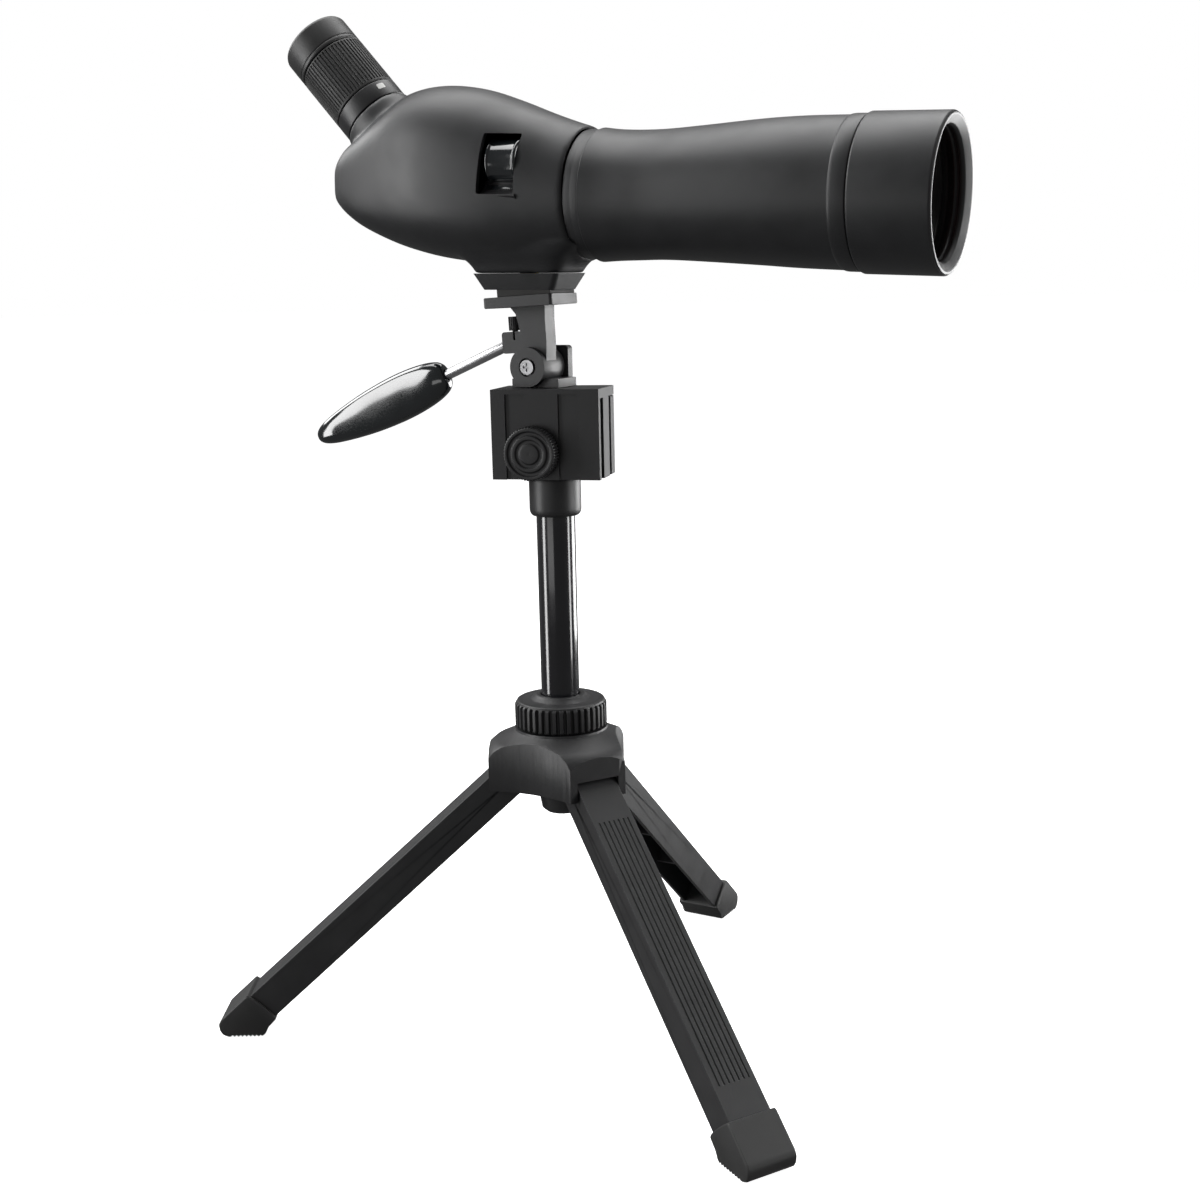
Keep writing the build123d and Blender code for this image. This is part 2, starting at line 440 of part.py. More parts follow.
def hub():
    """Three-lobed hub with a slot in each lobe for a leg."""
    corner = (LOBE_R, LOBE_HALF)
    edges = []
    for yaw in LEG_YAWS.values():
        turn = math.radians(yaw)
        left, right = [
            (corner[0] * math.cos(turn) - s * corner[1] * math.sin(turn),
             corner[0] * math.sin(turn) + s * corner[1] * math.cos(turn)) for s in (1, -1)
        ]
        edges.append((left, right, yaw))
    order = sorted(edges, key=lambda e: e[2] % 360)
    lines = []
    for i, (left, right, yaw) in enumerate(order):
        following = order[(i + 1) % 3][1]
        middle = math.radians(yaw + 60)
        lines.append(Line(right, left))
        lines.append(ThreePointArc(left, (30.0 * math.cos(middle), 30.0 * math.sin(middle)), following))
    plan = make_face(lines)
    body = Pos(0, 0, HUB_BOTTOM) * extrude(plan, HUB_TOP - HUB_BOTTOM)
    body &= spin([
        (0, HUB_BOTTOM), (45, HUB_BOTTOM), (45, 159.0), (41.0, 165.4), (37.4, 168.5), (31.6, 171.0),
        (25.6, HUB_TOP - 1.2), (25.6, HUB_TOP), (0, HUB_TOP),
    ])
    body += rod(17.0, HUB_TOP - 1, 185.0)
    slot = Plane.XZ * make_face(Polyline((18, 130), (18, 157.4), (36.5, 157.4), (46, 148.6), (46, 130), close=True))
    slot = extrude(slot, LEG_W / 2 + 0.6, both=True)
    pin_hole = Pos(LEG_PIVOT_R, 0, LEG_PIVOT_Z) * along_y(rod(PIN_R, -PIN_HALF - 0.2, PIN_HALF + 0.2))
    for yaw in LEG_YAWS.values():
        body -= Rot(0, 0, yaw) * slot
        body -= Rot(0, 0, yaw) * pin_hole
    body -= rod(TUBE_R + FIT, HUB_BOTTOM - 1, 200)
    body -= rod(13.2, 176.0, 190)
    return body


def add_tripod():
    """Hub, hinge pins, channel legs and rubber feet."""
    nodes["hub"] = hub()
    pins = []
    for side, yaw in LEG_YAWS.items():
        place = Rot(0, 0, yaw) * Pos(LEG_PIVOT_R, 0, LEG_PIVOT_Z)
        leg_frame = place * Rot(0, LEG_DROP, 0)
        pins.append(leg_frame * along_y(rod(PIN_R - 2 * FIT, -PIN_HALF, PIN_HALF)))
        channel = block((0, -LEG_W / 2, -LEG_D / 2), (LEG_LENGTH, LEG_W / 2, LEG_D / 2))
        channel += along_y(rod(LEG_D / 2, -LEG_W / 2, LEG_W / 2))
        inside = LEG_W / 2 - LEG_WALL
        channel -= block((-20, -inside, -20), (LEG_LENGTH - 3, inside, LEG_D / 2 - LEG_WALL))
        for i in range(-3, 4):
            channel -= block((26, i * 2.9 - 0.45, LEG_D / 2 - 0.6), (LEG_LENGTH - 24, i * 2.9 + 0.45, LEG_D))
        channel -= along_y(rod(PIN_R, -20, 20))
        for x in range(48, 180, 44):
            channel += block((x, -inside, -LEG_D / 2 + 5), (x + 2, inside, LEG_D / 2 - LEG_WALL))
        leg = leg_frame * channel
        foot = Rot(0, 0, yaw) * extrude(Plane.XZ * make_face(Polyline(
            (180.8, 25.3), (197.4, 10.2), (198.9, 7.0), (197.8, 3.0), (193.8, 0.0), (173.0, 0.0), (170.6, 5.2),
            (164.8, 10.6), close=True,
        )), FOOT_W / 2, both=True)
        nodes[f"leg_{side}"] = leg
        pocket = leg_frame * block((150, -LEG_W / 2, -LEG_D / 2), (LEG_LENGTH, LEG_W / 2, LEG_D / 2))
        nodes[f"foot_{side}"] = foot - pocket
    nodes["hinge_pins"] = Compound(children=pins)


def moved(place, node):
    """The node at its final place, moved solid by solid."""
    solids = [place * solid for solid in node.solids()]
    return solids[0] if len(solids) == 1 else Compound(children=solids)


def main():
    add_scope()
    add_foot()
    add_eyepiece()
    add_head()
    add_clamp()
    add_column()
    add_tripod()
    boxes = [node.bounding_box() for node in nodes.values()]
    middle = [(min(getattr(b.min, k) for b in boxes) + max(getattr(b.max, k) for b in boxes)) / 2 for k in "XY"]
    to_origin = Pos(-middle[0], -middle[1], 0)
    os.makedirs("parts", exist_ok=True)
    for name, node in nodes.items():
        export_step(moved(to_origin, node), f"parts/{name}.step")


main()
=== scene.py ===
import json
import math

import bpy
from mathutils import Matrix, Vector


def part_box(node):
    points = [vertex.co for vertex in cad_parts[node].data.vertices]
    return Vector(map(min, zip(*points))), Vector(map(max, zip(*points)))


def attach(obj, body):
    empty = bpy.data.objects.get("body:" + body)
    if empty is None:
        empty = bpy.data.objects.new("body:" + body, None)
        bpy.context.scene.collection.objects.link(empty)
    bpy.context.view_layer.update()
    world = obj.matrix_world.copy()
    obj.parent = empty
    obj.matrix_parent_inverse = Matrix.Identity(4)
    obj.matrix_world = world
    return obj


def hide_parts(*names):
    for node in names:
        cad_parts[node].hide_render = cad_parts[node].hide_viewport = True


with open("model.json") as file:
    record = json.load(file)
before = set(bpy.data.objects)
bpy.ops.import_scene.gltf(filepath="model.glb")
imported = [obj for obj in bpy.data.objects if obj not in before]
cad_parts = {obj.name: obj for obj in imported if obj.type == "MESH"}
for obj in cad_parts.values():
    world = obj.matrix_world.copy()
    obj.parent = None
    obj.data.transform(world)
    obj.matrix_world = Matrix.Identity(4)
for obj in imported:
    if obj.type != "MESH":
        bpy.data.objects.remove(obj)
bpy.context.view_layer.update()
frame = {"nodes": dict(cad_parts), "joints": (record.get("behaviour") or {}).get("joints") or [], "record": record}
MM = 0.001
mounts = {m["name"]: m for m in frame["record"]["mounts"]}
joints = {j["name"]: j for j in frame["joints"]}


# ---------------------------------------------------------------- where things are

def basis(origin, z_axis, x_axis):
    """A matrix at origin whose Z and X point as told."""
    z = Vector(z_axis).normalized()
    y = z.cross(Vector(x_axis)).normalized()
    x = y.cross(z)
    rotation = Matrix((x, y, z)).transposed().to_4x4()
    return Matrix.Translation(Vector(origin)) @ rotation


def middle(node):
    low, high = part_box(node)
    return (low + high) / 2


SHADE_AT, EYE_AT = 193.5 * MM, 102.3 * MM   # how far along their axes the two mounts sit
FOOT_HEIGHT, FOOT_LEAN = 40.4 * MM, math.radians(3.8)
AXIS = Vector(mounts["sunshade_outside"]["axis"])
CENTRE = Vector(mounts["sunshade_outside"]["pos_m"]) - AXIS * SHADE_AT
EYE_AXIS = Vector(mounts["eyecup_outside"]["axis"])
FOLD = Vector(mounts["eyecup_outside"]["pos_m"]) - EYE_AXIS * EYE_AT
SIDE = Vector((0, 1, 0))
UP = AXIS.cross(SIDE)
COLUMN = Vector((*middle("column_tube").xy, 0))
HEAD_UP = Vector(joints["rod_lock_turn"]["axis"])
ROD_AXIS = Vector(joints["pan_handle_turn"]["axis"])
CLAMP_AXIS = Vector(joints["clamp_jaw_slide"]["axis"])

# Scope, head and foot frames: X towards the objective, Z up. The others have Z along their own axis.
SCOPE = basis(CENTRE, UP, AXIS)
HEAD = basis(joints["tilt"]["pos_m"], HEAD_UP, SIDE.cross(HEAD_UP))
FOOT = HEAD @ Matrix.Translation((0, 0, FOOT_HEIGHT)) @ Matrix.Rotation(FOOT_LEAN, 4, "Y")
BARREL = basis(CENTRE, AXIS, SIDE)
EYEPIECE = basis(FOLD, EYE_AXIS, SIDE)
WHEEL = basis(joints["focus_turn"]["pos_m"], AXIS, UP)
ROD = basis(joints["pan_handle_turn"]["pos_m"], ROD_AXIS, UP)
KNOB = basis(joints["clamp_knob_turn"]["pos_m"], -CLAMP_AXIS, (0, 0, 1))
POST = Matrix.Translation(COLUMN)


# ---------------------------------------------------------------- materials

COAT_ROUGHNESS = 0.08
MOTTLE = 60.0                               # scale of the broad unevenness, per metre
GRAIN_RELIEF = 0.0002                       # metres
GLASS_INDEX = 1.52


def nodes_of(material):
    """A material's node tree and its shader."""
    tree = material.node_tree
    shader = next(n for n in tree.nodes if n.type == "BSDF_PRINCIPLED")
    return tree, shader


def noise(tree, coordinates, scale, detail):
    """A noise texture in metres of the object's own space."""
    texture = tree.nodes.new("ShaderNodeTexNoise")
    texture.inputs["Scale"].default_value = scale
    texture.inputs["Detail"].default_value = detail
    tree.links.new(coordinates, texture.inputs["Vector"])
    return texture.outputs["Fac"]


def ramp(tree, factor, low, high):
    """Maps the middle of a noise factor, where most of it lies, onto two numbers."""
    node = tree.nodes.new("ShaderNodeMapRange")
    node.inputs["From Min"].default_value = 0.3
    node.inputs["From Max"].default_value = 0.7
    node.inputs["To Min"].default_value = low
    node.inputs["To Max"].default_value = high
    tree.links.new(factor, node.inputs["Value"])
    return node.outputs["Result"]


def mix(tree, factor, first, second):
    """Blends two colours by a factor."""
    node = tree.nodes.new("ShaderNodeMix")
    node.data_type = "RGBA"
    node.inputs["A"].default_value = (*first, 1)
    node.inputs["B"].default_value = (*second, 1)
    tree.links.new(factor, node.inputs["Factor"])
    return node.outputs["Result"]


def finish_of(name, dark, light, rough, grain, bump, metallic=0.0, coat=0.0):
    """A moulded, painted or machined surface: two close tones, uneven gloss and a fine grain in relief."""
    material = bpy.data.materials.new(name)
    material.use_nodes = True
    tree, shader = nodes_of(material)
    where = tree.nodes.new("ShaderNodeTexCoord").outputs["Object"]
    broad = noise(tree, where, MOTTLE, 4.0)
    fine = noise(tree, where, grain, 2.0)
    tree.links.new(mix(tree, ramp(tree, broad, 0, 1), dark, light), shader.inputs["Base Color"])
    tree.links.new(ramp(tree, broad, rough[0], rough[1]), shader.inputs["Roughness"])
    relief = tree.nodes.new("ShaderNodeBump")
    relief.inputs["Strength"].default_value = bump
    relief.inputs["Distance"].default_value = GRAIN_RELIEF
    tree.links.new(fine, relief.inputs["Height"])
    tree.links.new(relief.outputs["Normal"], shader.inputs["Normal"])
    shader.inputs["Metallic"].default_value = metallic
    shader.inputs["Coat Weight"].default_value = coat
    shader.inputs["Coat Roughness"].default_value = COAT_ROUGHNESS
    return material


def glass_of(name, tint, rough, clear):
    """Polished glass with a faint unevenness. clear is how much light goes through it."""
    material = finish_of(name, tint, tint, rough, 900, 0.02)
    shader = nodes_of(material)[1]
    shader.inputs["Transmission Weight"].default_value = clear
    shader.inputs["IOR"].default_value = GLASS_INDEX
    shader.inputs["Coat Weight"].default_value = 0.6
    return material


WHITE_PAINT = finish_of("white_paint", (0.62, 0.62, 0.6), (0.7, 0.7, 0.68), (0.4, 0.5), 1500, 0.05)
FINISHES = {                              # two tones, gloss, grain, relief, then metallic and coat
    "scope_shell": ((0.012, 0.0125, 0.0135), (0.016, 0.0165, 0.018), (0.42, 0.5), 2600, 0.1),
    "eyepiece_black": ((0.011, 0.011, 0.012), (0.015, 0.015, 0.016), (0.36, 0.44), 2200, 0.06),
    "zoom_grip": ((0.012, 0.012, 0.012), (0.018, 0.018, 0.018), (0.5, 0.62), 3000, 0.12),
    "eyecup_rubber": ((0.012, 0.012, 0.012), (0.016, 0.016, 0.016), (0.42, 0.52), 2600, 0.08),
    "gloss_black": ((0.006, 0.008, 0.009), (0.009, 0.011, 0.013), (0.1, 0.16), 500, 0.02, 0.0, 0.8),
    "inner_black": ((0.004, 0.004, 0.004), (0.007, 0.007, 0.007), (0.7, 0.85), 1500, 0.1),
    "brass": ((0.55, 0.38, 0.14), (0.66, 0.48, 0.2), (0.25, 0.35), 900, 0.05, 1.0),
    "bright_steel": ((0.42, 0.42, 0.43), (0.52, 0.52, 0.53), (0.24, 0.34), 1600, 0.04, 1.0),
    "head_plastic": ((0.018, 0.018, 0.019), (0.024, 0.024, 0.025), (0.46, 0.56), 2000, 0.12),
    "clamp_plastic": ((0.012, 0.012, 0.013), (0.017, 0.017, 0.018), (0.4, 0.5), 1800, 0.1),
    "pad_rubber": ((0.014, 0.014, 0.013), (0.022, 0.021, 0.02), (0.7, 0.85), 1600, 0.3),
    "tube_paint": ((0.006, 0.006, 0.008), (0.009, 0.009, 0.011), (0.14, 0.2), 400, 0.015, 0.0, 0.5),
    "tripod_plastic": ((0.015, 0.015, 0.016), (0.021, 0.021, 0.022), (0.44, 0.54), 1900, 0.14),
    "foot_rubber": ((0.018, 0.018, 0.018), (0.026, 0.026, 0.026), (0.5, 0.6), 1800, 0.2),
}
MATERIALS = {name: finish_of(name, *row) for name, row in FINISHES.items()}
MATERIALS["optical_glass"] = glass_of("optical_glass", (0.8, 0.85, 0.84), (0.0, 0.03), 0.95)
MATERIALS["coated_glass"] = glass_of("coated_glass", (0.11, 0.012, 0.01), (0.03, 0.06), 0.25)


# ---------------------------------------------------------------- shapes, in millimetres of their own frames

CORNER_SHARE = 0.42                         # most of an edge that one rounded corner may use


def piece(name, points, faces, place, slot, body, *nodes, crease=34):
    """A mesh that stands for CAD nodes, with its finish, riding on its body.

    Shapes that only cut or melt into others, and the floor, have no slot.
    """
    mesh = bpy.data.meshes.new(name)
    mesh.from_pydata([place @ (Vector(p) * MM) for p in points], [], faces)
    mesh.validate()
    made = bpy.data.objects.new(name, mesh)
    bpy.context.scene.collection.objects.link(made)
    if slot:
        mesh.materials.append(MATERIALS[slot])
        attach(made, body)
    if nodes:
        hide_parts(*nodes)
    smooth(made, crease)
    return made


def smooth(made, crease):
    """Smooth shading with sharp edges above an angle."""
    made.data.polygons.foreach_set("use_smooth", [True] * len(made.data.polygons))
    made.data.set_sharp_from_angle(angle=math.radians(crease))


def bake(made):
    """Turns an object's modifiers into its mesh."""
    bpy.context.view_layer.update()
    graph = bpy.context.evaluated_depsgraph_get()
    mesh = bpy.data.meshes.new_from_object(made.evaluated_get(graph))
    made.modifiers.clear()
    made.data = mesh
    return made


def bridge(rings, closed):
    """Faces between neighbouring rings of equal length. closed joins the last ring to the first."""
    size = len(rings[0])
    points = [p for ring in rings for p in ring]
    faces = []
    for i in range(len(rings) if closed else len(rings) - 1):
        a, b = i * size, (i + 1) % len(rings) * size
        faces += [(a + k, a + (k + 1) % size, b + (k + 1) % size, b + k) for k in range(size)]
    if not closed:
        faces.append(tuple(reversed(range(size))))
        faces.append(tuple(range(len(points) - size, len(points))))
    return points, faces


def soften(outline, radius, steps=3):
    """Rounds the corners of a closed outline."""
    rounded = []
    for i, corner in enumerate(outline):
        here = Vector(corner)
        before, after = Vector(outline[i - 1]) - here, Vector(outline[(i + 1) % len(outline)]) - here
        reach = min(radius, before.length * CORNER_SHARE, after.length * CORNER_SHARE)
        start, end = here + before.normalized() * reach, here + after.normalized() * reach
        for k in range(steps + 1):
            t = k / steps
            rounded.append(tuple(start * (1 - t) ** 2 + here * 2 * t * (1 - t) + end * t ** 2))
    return rounded


def lathe(outline, segments=96, radius=0.3, relief=None):
    """Rings of a closed (radius, height) outline turned about Z.

    relief changes a radius by angle and height.
    """
    rings = []
    for r, z in soften(outline, radius):
        ring = []
        for k in range(segments):
            turn = 2 * math.pi * k / segments
            at = relief(r, z, k) if relief else r
            ring.append((at * math.cos(turn), at * math.sin(turn), z))
        rings.append(ring)
    return bridge(rings, closed=True)


def grooved(pattern, low, high, root):
    """A relief of straight ribs: pattern is the share of the groove's depth at each step round one rib."""
    def relief(r, z, k):
        inside = low <= z <= high and r > root
        return r - (r - root) * pattern[k % len(pattern)] if inside else r
    return relief


def filled(rows, count):
    """Rows of numbers with more rows between them, on a smooth curve."""
    out = []
    last = len(rows) - 1
    for i in range(last):
        near = rows[max(i - 1, 0)], rows[i], rows[i + 1], rows[min(i + 2, last)]
        for k in range(count):
            t = k / count
            out.append([
                (2 * b + (c - a) * t + (2 * a - 5 * b + 4 * c - d) * t ** 2
                 + (3 * b - a - 3 * c + d) * t ** 3) / 2
                for a, b, c, d in zip(*near)
            ])
    return out + [list(rows[last])]


def oval(half_y, half_z, power, count=72):
    """Points round a superellipse."""
    ring = []
    for k in range(count):
        c, s = math.cos(2 * math.pi * k / count), math.sin(2 * math.pi * k / count)
        ring.append((half_y * math.copysign(abs(c) ** (2 / power), c),
                     half_z * math.copysign(abs(s) ** (2 / power), s)))
    return ring


def prism(outline, half, rounding):
    """An outline in X and Z, extruded along Y with rounded sides."""
    middle_x = sum(p[0] for p in outline) / len(outline)
    middle_z = sum(p[1] for p in outline) / len(outline)
    size = max(abs(p[0] - middle_x) + abs(p[1] - middle_z) for p in outline)
    rings = []
    for share in (-1, -0.8, -0.4, 0.4, 0.8, 1):
        turn = share * math.pi / 2
        inset = rounding * (1 - math.cos(turn)) / size
        y = math.copysign(half - rounding, share) + rounding * math.sin(turn)
        rings.append([(middle_x + (x - middle_x) * (1 - inset), y, middle_z + (z - middle_z) * (1 - inset))
                      for x, z in outline])
    return bridge(rings, closed=False)


def cut(made, cutters):
    """Cuts other objects out of one, and removes them."""
    for cutter in cutters:
        step = made.modifiers.new("cut", "BOOLEAN")
        step.operation = "DIFFERENCE"
        step.solver = "EXACT"
        step.object = cutter
    bake(made)
    for cutter in cutters:
        bpy.data.objects.remove(cutter)
    return made


def melt(name, parts, size, passes):
    """Overlapping closed shapes, as (points, faces, frame), fused into one skin and smoothed."""
    points, faces = [], []
    for some, more, place in parts:
        start = len(points)
        points += [place @ (Vector(p) * MM) / MM for p in some]
        faces += [tuple(i + start for i in face) for face in more]
    made = piece(name, points, faces, Matrix.Identity(4), None, None)
    skin = made.modifiers.new("skin", "REMESH")
    skin.mode = "VOXEL"
    skin.voxel_size = size * MM
    even = made.modifiers.new("even", "SMOOTH")
    even.factor = 0.5
    even.iterations = passes
    return bake(made)


# ---------------------------------------------------------------- scope body

HOUSING = (                               # x, top, bottom, half width, squareness
    (-120.5, 13.5, -8.5, 20.0, 4.5), (-117.0, 18.0, -11.5, 23.0, 4.2), (-111.0, 23.5, -16.0, 27.0, 3.8),
    (-102.0, 30.0, -21.8, 30.5, 3.2), (-88.0, 41.5, -27.8, 34.3, 2.8), (-75.0, 50.0, -31.8, 37.2, 2.6),
    (-58.0, 53.3, -35.2, 39.6, 2.5), (-38.0, 51.8, -37.2, 40.0, 2.45), (-18.0, 46.2, -37.6, 39.0, 2.4),
    (0.0, 40.0, -37.1, 37.0, 2.3), (14.0, 35.6, -36.3, 35.4, 2.1), (26.0, 32.2, -35.5, 34.0, 2.0),
)
BARREL_ROWS = (                           # x, centre height, radius
    (34.0, -1.9, 33.4), (44.0, -2.0, 32.5), (56.0, -1.85, 32.05), (70.0, -1.4, 31.95), (90.0, -0.8, 32.9),
    (120.0, 0.0, 34.7), (142.0, 0.1, 35.7), (164.5, 0.0, 36.0),
)


WALL = 2.8
ROWS_BETWEEN = 5
RING_DROP = -1.7 * MM
SHELL_VOXEL, HOLLOW_VOXEL = 1.25, 1.6


def housing_skin(shrink):
    """The housing's rings, or with shrink those of its hollow, which starts one row further in."""
    rings = []
    for x, top, bottom, half, power in filled(HOUSING, ROWS_BETWEEN):
        ring = oval(half - shrink, (top - bottom) / 2 - shrink, power)
        rings.append([(x, y, z + (top + bottom) / 2) for y, z in ring])
    return bridge(rings[ROWS_BETWEEN:] if shrink else rings, closed=False)


# The neck reaches down into the housing, and the pedestal down to the foot.
neck = [(0.01, 10), (26.5, 10), (24.6, 24), (22.4, 36), (20.8, 46), (20.1, 52.7), (0.01, 52.7)]
pedestal = []
for height, half_x, half_y in filled(((8.6, 26.0, 17.5), (11.5, 27.4, 18.6), (15.0, 30.5, 20.8), (19.0, 36.0,
                                                                                                  24.0),
                                      (24.0, 43.0, 27.0)), 3):
    pedestal.append([(x, y, height) for x, y in oval(half_x, half_y, 6.0)])
shell = melt("prism_housing_skin", [
    (*housing_skin(0.0), SCOPE), (*lathe(neck, 72, 0.4), EYEPIECE), (*bridge(pedestal, closed=False), FOOT),
], SHELL_VOXEL, 9)
# The front hole is set to one side by the ring's drop. The barrel hides it.
front_hole = BARREL @ Matrix.Translation((RING_DROP, 0, 0))
hollow = melt("hollow", [
    (*housing_skin(WALL), SCOPE), (*lathe([(0.01, 8), (15, 8), (15, 56), (0.01, 56)], 48), EYEPIECE),
    (*lathe([(0.01, 12), (31, 12), (31, 30), (0.01, 30)], 64), front_hole),
    (*lathe([(0.01, 6), (5.6, 6), (5.6, 20), (0.01, 20)], 32), FOOT),
], HOLLOW_VOXEL, 2)
window = [(-17.6, 27.0), (1.6, 27.0), (1.0, 12.0), (0.4, -3.0), (-20.0, -3.0)]
opening = piece("opening", *prism(soften(window, 1.2), 14.0, 0.4),
                SCOPE @ Matrix.Translation((0, -0.037, 0)), None, None)
cut(shell, [hollow, opening])
shell.data.materials.clear()
shell.data.materials.append(MATERIALS["scope_shell"])
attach(shell, "scope")
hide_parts("prism_housing")
smooth(shell, 38)


def round_rings(rows, segments=128):
    """Rings across X, from rows of x, centre height and radius."""
    return [[(x, r * math.cos(2 * math.pi * k / segments), z + r * math.sin(2 * math.pi * k / segments))
             for k in range(segments)] for x, z, r in rows]


skin = filled(BARREL_ROWS, 6)
rear_edge = [(34.0, -1.9, 32.6), (34.15, -1.9, 33.1), (34.6, -1.9, 33.35)]
shoulder = [(164.9, 0, 36.3), (165.6, 0, 36.5), (166.6, 0, 36.6), (172.4, 0, 36.6), (173.0, 0, 36.4),
            (173.3, 0, 36.0), (173.3, 0, 34.0), (173.6, 0, 33.95), (199.6, 0, 33.95), (200, 0, 33.5),
            (200, 0, 31.6), (170, 0, 31.6)]
inside = [(x, z, r - WALL) for x, z, r in reversed(skin)]
piece("barrel_skin", *bridge(round_rings(rear_edge + skin[1:] + shoulder + inside), closed=True), SCOPE,
      "scope_shell", "scope", "objective_barrel", crease=30)
piece("groove_ring", *lathe([(29.5, 26.1), (32.5, 26.1), (32.3, 30.0), (32.5, 33.9), (29.5, 33.9)], 128, 0.4),
      SCOPE @ Matrix.Translation((0, 0, RING_DROP)) @ Matrix.Rotation(math.radians(90), 4, "Y"),
      "scope_shell",
      "scope", "barrel_ring")
piece("sunshade_skin", *lathe([
    (34.0, 173.75), (36.9, 173.75), (37.5, 174.5), (37.5, 212.4), (36.6, 213.65), (35.6, 213.7), (31.6,
                                                                                                  211.3),
    (30.95, 209.8), (30.95, 208.6), (31.6, 208.2), (31.6, 206.9), (31.0, 206.5), (31.0, 205.9), (34.0, 202.2),
], 160, 0.35), BARREL, "scope_shell", "sunshade", "sunshade")
# Four fine steps inside the retaining ring's mouth.
cell = [(29.6, 181), (31.4, 181), (31.4, 200), (30.4, 200)]
for k in range(4):
    cell += [(30.0 - 0.5 * k, 199.6 - 0.8 * k), (29.7 - 0.5 * k, 199.5 - 0.8 * k)]
piece("cell_skin", *lathe(cell + [(27.8, 196.5), (29.6, 196.5)], 128, 0.1), BARREL, "inner_black", "scope",
      "objective_cell")


def dome(radius, low, high, bulge):
    """The outline of a lens with one bulging face."""
    curve = (radius ** 2 + bulge ** 2) / (2 * bulge)
    rim = []
    for k in range(13):
        r = radius * k / 12
        rim.append((r, high - curve + math.sqrt(curve ** 2 - r ** 2)))
    rim[0] = (0.01, high)
    return rim + [(radius, low), (0.01, low)]


piece("front_glass", *lathe(dome(29.55, 188.1, 196.3, 3.6), 96, 0.05), BARREL, "coated_glass", "scope",
      "objective_lens", crease=50)


# ---------------------------------------------------------------- eyepiece

piece("collar_skin", *lathe([(15, 52.9), (18.9, 52.9), (19.35, 53.3), (19.35, 62.4), (19.0, 62.8),
                             (15, 62.8)], 112,
                            0.2), EYEPIECE, "eyepiece_black", "scope", "eyepiece_collar")
piece("zoom_skin", *lathe([
    (17.1, 63.2), (18.9, 63.2), (19.3, 63.6), (19.3, 64.3), (19.35, 64.9), (19.35, 92.8), (19.3, 93.3),
    (19.3, 93.7),
    (18.9, 94.15), (17.1, 94.15),
], 480, 0.2, grooved((0, 0, 0, 0.5, 1, 1, 0.5, 0), 64.6, 93.1, 18.75)), EYEPIECE, "zoom_grip", "zoom_ring",
      "zoom_ring", crease=40)
piece("cup_skin", *lathe([
    (17.1, 94.65), (18.8, 94.65), (19.3, 95.2), (19.3, 96.6), (18.95, 97.0), (19.3, 97.5), (19.3, 109.6),
    (18.6, 110.9), (17.7, 111.1), (16.6, 108.6), (15.5, 105.9), (15.5, 104.7), (17.1, 104.7),
], 128, 0.5), EYEPIECE, "eyecup_rubber", "eyecup", "eyecup")
mark = []
for k in range(9):
    turn = 0.36 + 0.03 * k
    inset = 0.5 if k in (0, 8) else 0.0
    corners = [(18.6, 57.4 + inset), (19.42, 57.4 + inset), (19.42, 60.6 - inset), (18.6, 60.6 - inset)]
    mark.append([(-r * math.sin(turn), -r * math.cos(turn), z) for r, z in corners])
piece("index_mark", *bridge(mark, closed=False), EYEPIECE, "eyepiece_black",
      "scope").data.materials[0] = WHITE_PAINT


# ---------------------------------------------------------------- focus wheel

piece("wheel_skin", *lathe([
    (2.5, -9.4), (11.0, -9.4), (12, -8.6), (12, -7.9), (11.3, -7.2), (11.3, 6.2), (12, 6.9), (12, 7.6),
    (11.0, 8.4),
    (2.5, 8.4),
], 192, 0.6), WHEEL, "gloss_black", "focus_wheel", "focus_wheel")
scoop = [(-30.6, 4.0), (-31.4, 1.6), (-33.4, -0.6), (-36.0, -2.2), (-38.3, -3.4), (-35.0, -6.0), (-27.0,
                                                                                                  -6.0),
         (-27.0, 4.0)]
ends = [(x, inset) for x, inset in ((-19.0, 0.5), (-18.6, 0.0), (1.6, 0.0), (2.0, 0.5))]
piece("scoop_skin", *bridge([[(x, y, z - inset) for y, z in soften(scoop, 1.0)] for x, inset in ends],
                            closed=False),
      SCOPE, "eyepiece_black", "scope")


# ---------------------------------------------------------------- pan handle

DISH_DEPTH = 1.5


def grip_ring(z, width, thick):
    """A grip section: an oval with a shallow dish in both broad faces."""
    ring = []
    along = 1 - ((z - 88) / 38) ** 2
    for y, x in oval(thick, width, 2.1, 80):
        across = 1 - (x / (width * 0.78)) ** 2
        dish = DISH_DEPTH * max(along, 0) * max(across, 0) ** 0.7
        ring.append((x, y - math.copysign(min(dish, abs(y) * 0.8), y), z))
    return ring


# Distance along the rod, half width, half thickness.
GRIP = ((42.6, 5.2, 3.9), (43.4, 7.0, 4.7), (46.5, 9.2, 5.6), (54.0, 11.3, 6.3), (66.0, 12.7, 6.5),
        (80.0, 13.0, 6.5), (98.0, 12.0, 6.1), (114.0, 10.0, 5.3), (127.0, 7.6, 4.4), (134.0, 5.4, 3.4),
        (137.3, 3.2, 2.2), (138.0, 1.4, 1.1))
grip_mouth = [(47.0, 3.0, 3.0), (42.4, 3.4, 3.3)]
grip_rings = [grip_ring(*row) for row in grip_mouth + filled(GRIP, 5)]
piece("grip_skin", *bridge(grip_rings, closed=False), ROD, "gloss_black", "pan_handle", "pan_grip", crease=26)
piece("rod_skin", *lathe([(0.01, -5), (2.85, -5), (2.85, 60), (0.01, 60)], 64, 0.3), ROD, "bright_steel",
      "pan_handle", "pan_rod")


# ---------------------------------------------------------------- clamp knob

